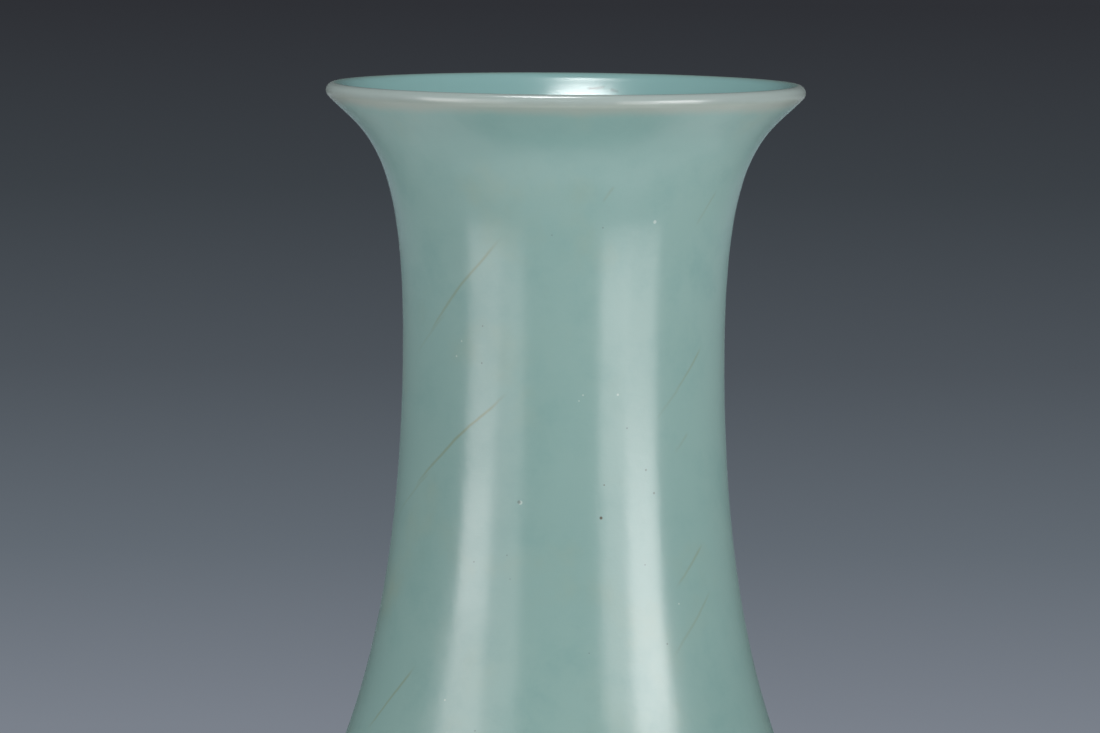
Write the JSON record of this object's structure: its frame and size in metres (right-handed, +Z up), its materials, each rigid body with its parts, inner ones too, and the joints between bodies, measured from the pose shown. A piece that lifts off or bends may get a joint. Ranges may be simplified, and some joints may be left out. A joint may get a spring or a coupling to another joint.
{
  "type": "porcelain vase",
  "caption": "Free-standing porcelain vase with a trumpet mouth, long waisted neck, full rounded belly and a low splayed foot ring, celadon glazed inside and out.",
  "frame": {"origin": "centre of the flat ring on the foot's underside, on the surface that the vase stands on", "axes": "+Z up the vase's axis of revolution; X and Y are any two level directions"},
  "size_m": [0.212, 0.212, 0.352],
  "materials": {
    "porcelain_body": "matte",
    "foot_biscuit": "matte",
    "luting_slip": "matte",
    "outer_glaze": "gloss",
    "lip_glaze": "gloss",
    "inner_glaze": "gloss",
    "base_glaze": "gloss"
  },
  "bodies": {
    "root": {"neck_section": "porcelain_body", "shoulder_section": "porcelain_body", "lower_body_section": "porcelain_body", "foot_ring": "foot_biscuit", "neck_seam_slip": "luting_slip", "belly_seam_slip": "luting_slip", "foot_seam_slip": "luting_slip", "outer_glaze": "outer_glaze", "lip_glaze": "lip_glaze", "inner_glaze": "inner_glaze", "base_glaze": "base_glaze"}
  },
  "joints": []
}
